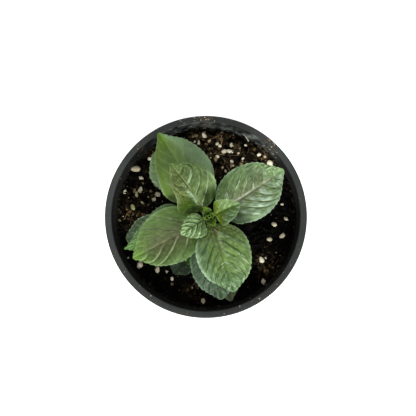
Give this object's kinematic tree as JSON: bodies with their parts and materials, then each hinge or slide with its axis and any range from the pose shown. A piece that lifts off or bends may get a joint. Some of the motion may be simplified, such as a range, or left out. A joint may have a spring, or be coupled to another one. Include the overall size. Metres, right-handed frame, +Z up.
{
  "type": "potted mint plant",
  "caption": "Young mint plant with toothed, quilted green leaves in opposite pairs, in a round dark plastic nursery pot filled with potting mix",
  "frame": {"origin": "on the pot's axis, at the surface that the pot stands on", "axes": "+Z up along the pot's axis; the two broad bronze-tinted leaves of the third pair lie nearly along X, so +Y is the back"},
  "size_m": [0.108, 0.108, 0.1524],
  "materials": {
    "pot_plastic": "satin",
    "potting_mix": "matte",
    "stem_green": "satin",
    "young_leaf": "satin",
    "leaf_green": "satin"
  },
  "bodies": {
    "root": {"pot": "pot_plastic", "soil": "potting_mix", "stem": "stem_green", "growing_tip": "young_leaf", "side_shoot": "young_leaf", "leaf_1_left": "leaf_green", "leaf_1_right": "leaf_green", "leaf_2_back": "leaf_green", "leaf_2_front": "leaf_green", "leaf_3_left": "leaf_green", "leaf_3_right": "leaf_green", "leaf_4_back": "leaf_green", "leaf_4_front": "leaf_green", "leaf_5_left": "leaf_green", "leaf_5_right": "leaf_green", "leaf_6_back": "leaf_green", "leaf_6_front": "leaf_green", "leaf_7_left": "leaf_green", "leaf_7_right": "leaf_green"}
  },
  "joints": []
}
